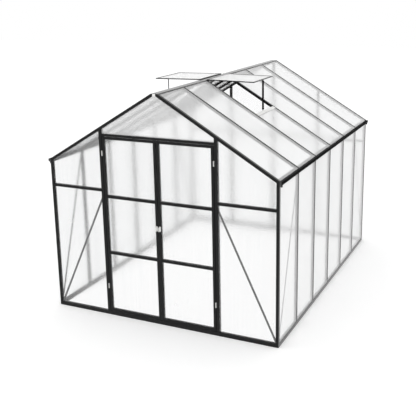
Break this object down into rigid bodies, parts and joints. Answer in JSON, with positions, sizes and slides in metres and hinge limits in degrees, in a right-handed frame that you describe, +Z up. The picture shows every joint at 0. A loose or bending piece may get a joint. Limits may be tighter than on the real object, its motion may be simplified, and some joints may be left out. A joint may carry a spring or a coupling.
{
  "type": "polycarbonate greenhouse",
  "caption": "Free-standing gable-roofed greenhouse with a dark metal frame, twin-wall sheets, a pair of outward-opening doors and propped-open roof vents.",
  "frame": {"origin": "centre of the ground plan, on the ground", "axes": "+Z up, +X to the right seen from the doors, the doors face -Y and the ridge runs along Y"},
  "size_m": [2.4786, 3.1811, 2.2927],
  "materials": {
    "dark_frame": "satin powder coat, near black",
    "gutter_black": "matte black",
    "twin_wall_sheet": "clear twin-wall polycarbonate",
    "pale_fitting": "satin off-white"
  },
  "bodies": {
    "house": {"base_front": "dark_frame", "base_back": "dark_frame", "base_left": "dark_frame", "base_right": "dark_frame", "corner_posts": "dark_frame", "door_posts": "dark_frame", "door_lintel": "dark_frame", "front_rafters": "dark_frame", "back_rafters": "dark_frame", "ridge_beam": "dark_frame", "ridge_caps": "pale_fitting", "eave_beams": "dark_frame", "gutter_left": "gutter_black", "gutter_right": "gutter_black", "studs_left": "dark_frame", "studs_right": "dark_frame", "roof_bars_left": "dark_frame", "roof_bars_right": "dark_frame", "front_side_rails": "dark_frame", "back_posts": "dark_frame", "back_rails": "dark_frame", "front_braces": "dark_frame", "side_braces": "dark_frame", "front_sheets": "twin_wall_sheet", "gable_sheet": "twin_wall_sheet", "back_sheets": "twin_wall_sheet", "side_sheets_left": "twin_wall_sheet", "side_sheets_right": "twin_wall_sheet", "roof_sheets_left": "twin_wall_sheet", "roof_sheets_right": "twin_wall_sheet", "vent_sills": "pale_fitting", "vent_frame_left": "dark_frame", "vent_frame_right": "dark_frame", "vent_panes": "twin_wall_sheet", "vent_props": "dark_frame", "door_hinge_plates": "pale_fitting"},
    "door_left_leaf": {"door_left_frame": "dark_frame", "door_left_panes": "twin_wall_sheet", "door_left_handle": "pale_fitting", "door_left_hinges": "pale_fitting"},
    "door_right_leaf": {"door_right_frame": "dark_frame", "door_right_panes": "twin_wall_sheet", "door_right_handle": "pale_fitting", "door_right_hinges": "pale_fitting"}
  },
  "joints": [
    {"name": "door_left_hinge", "type": "hinge", "parent": "house", "child": "door_left_leaf", "pos_m": [-0.592, -1.5803, 0.95], "axis": [0, 0, -1], "range_deg": [0, 110]},
    {"name": "door_right_hinge", "type": "hinge", "parent": "house", "child": "door_right_leaf", "pos_m": [0.592, -1.5803, 0.95], "axis": [0, 0, 1], "range_deg": [0, 110]}
  ]
}
